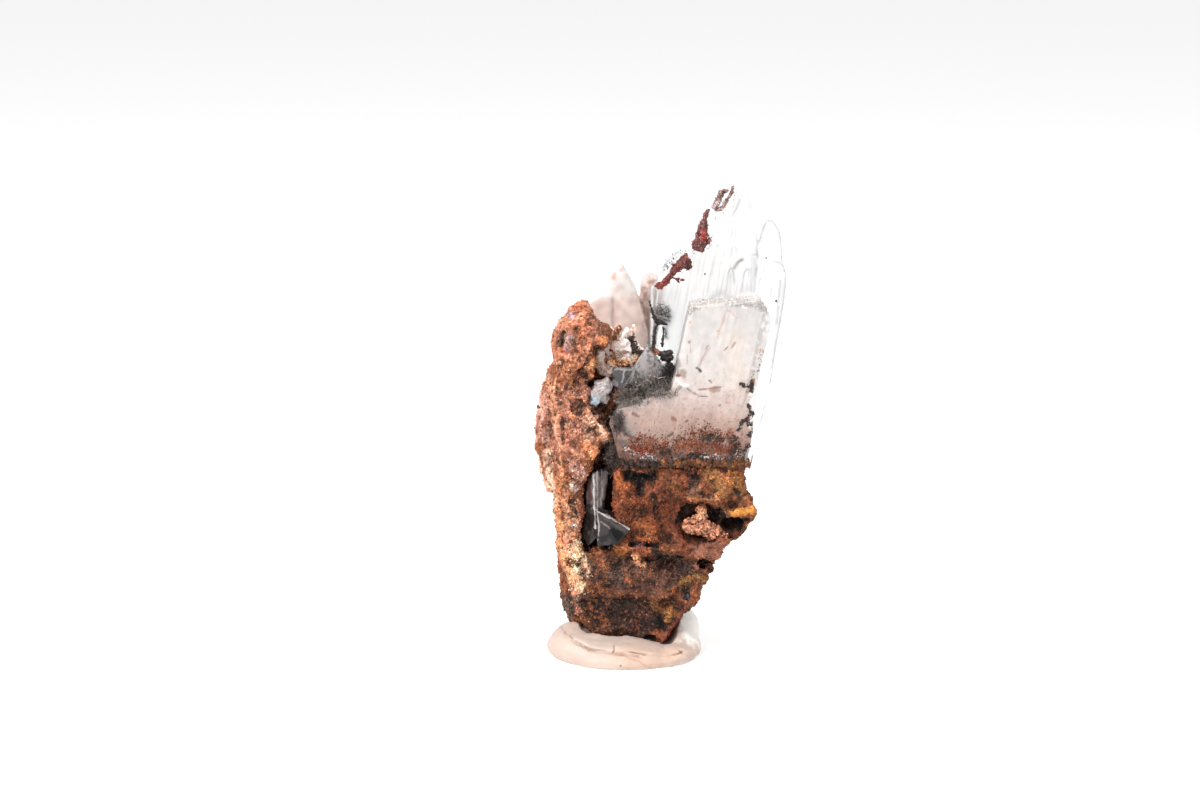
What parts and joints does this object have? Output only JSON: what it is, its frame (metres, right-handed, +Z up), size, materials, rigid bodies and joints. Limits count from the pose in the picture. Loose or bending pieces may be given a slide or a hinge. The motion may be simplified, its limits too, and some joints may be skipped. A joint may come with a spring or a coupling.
{
  "type": "barite crystals on iron-oxide matrix",
  "caption": "Miniature mineral specimen: leaning clear and milky barite prisms on a brown gossan matrix, standing in a flat lump of mineral tack.",
  "frame": {"origin": "middle of the whole object's footprint box, on the surface that the tack rests on", "axes": "+X to the viewer's right, +Y away from the viewer, +Z up"},
  "size_m": [0.0236, 0.0172, 0.0445],
  "materials": {
    "goethite_matrix": "rough granular iron oxide",
    "clear_barite": "clear, polished by growth, fine lengthwise striae",
    "milky_barite": "milky, satin",
    "rosy_barite": "cloudy pinkish, satin",
    "cream_barite": "cream, satin",
    "grey_barite": "grey, glassy",
    "pale_blue_barite": "faint pale blue, glassy",
    "smoky_barite": "smoky grey, glassy",
    "hematite_crust": "dark red, sub-metallic",
    "goethite_crust": "black, dull to silky",
    "drusy_crust": "sparkling tan druse",
    "mineral_tack": "soft putty, satin"
  },
  "bodies": {
    "root": {"matrix": "goethite_matrix", "clear_blade": "clear_barite", "milky_crystal": "milky_barite", "rear_crystals": "rosy_barite", "cream_crystal": "cream_barite", "grey_crystal": "grey_barite", "pale_blue_chip": "pale_blue_barite", "smoky_crystal": "smoky_barite", "hematite_low": "hematite_crust", "hematite_mid": "hematite_crust", "hematite_top": "hematite_crust", "black_crust": "goethite_crust", "drusy_nest": "drusy_crust", "mineral_tack": "mineral_tack"}
  },
  "joints": []
}
